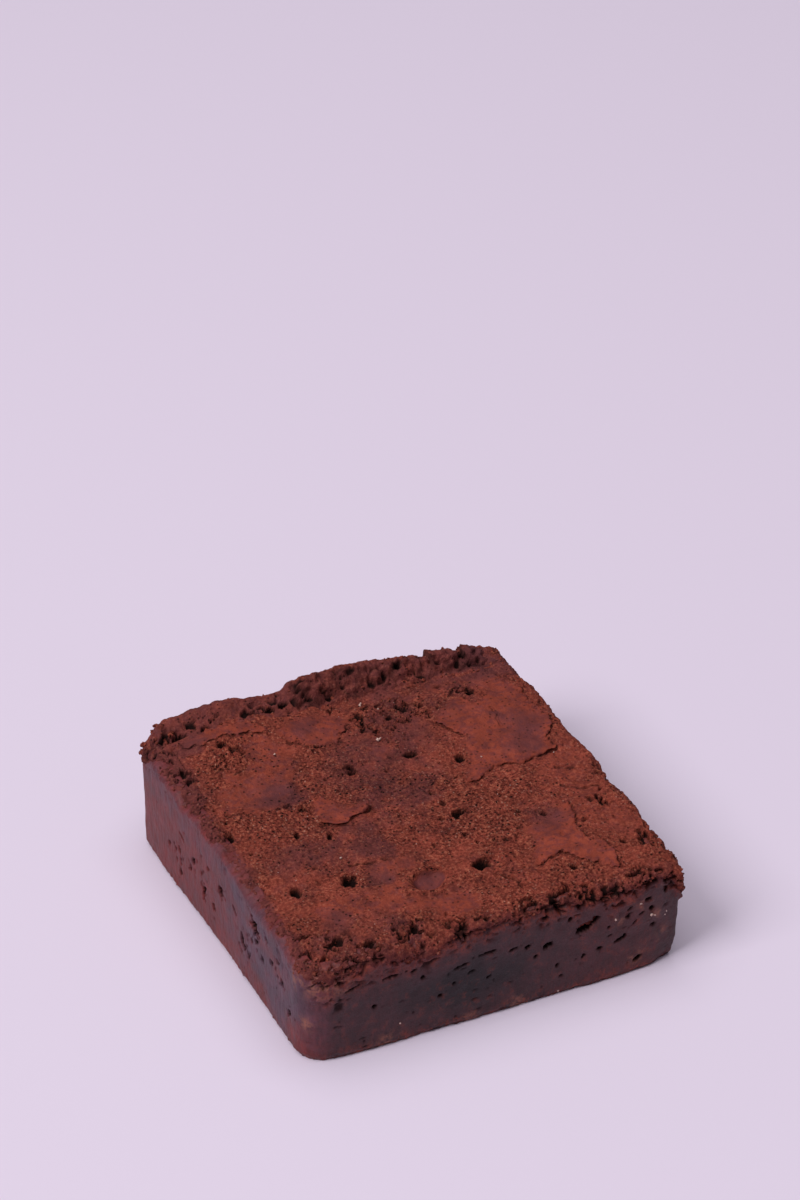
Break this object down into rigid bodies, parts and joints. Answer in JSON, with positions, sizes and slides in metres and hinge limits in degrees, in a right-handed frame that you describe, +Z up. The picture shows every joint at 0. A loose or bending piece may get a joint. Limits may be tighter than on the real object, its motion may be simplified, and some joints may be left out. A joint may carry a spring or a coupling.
{
  "type": "chocolate brownie",
  "caption": "Square of chocolate brownie cut from the edge of a tin: flaky crust lid with a raised baked rim over a dense dark crumb.",
  "frame": {"origin": "middle of the flat base, under the centre of the bounding box", "axes": "+Z up; +Y towards the side that baked against the tin, where the crust stands up in a rim; -Y the front cut face; +X towards the right-hand cut face"},
  "size_m": [0.084, 0.086, 0.0299],
  "materials": {
    "crust": "matt, crumbly, dark reddish brown baked crust",
    "crumb": "moist, knife-cut, near-black brown crumb",
    "skin": "smooth, thin, papery skin flakes with a soft sheen",
    "sugar": "small pale sugar grains"
  },
  "bodies": {
    "root": {"brownie": "crust"}
  },
  "joints": []
}
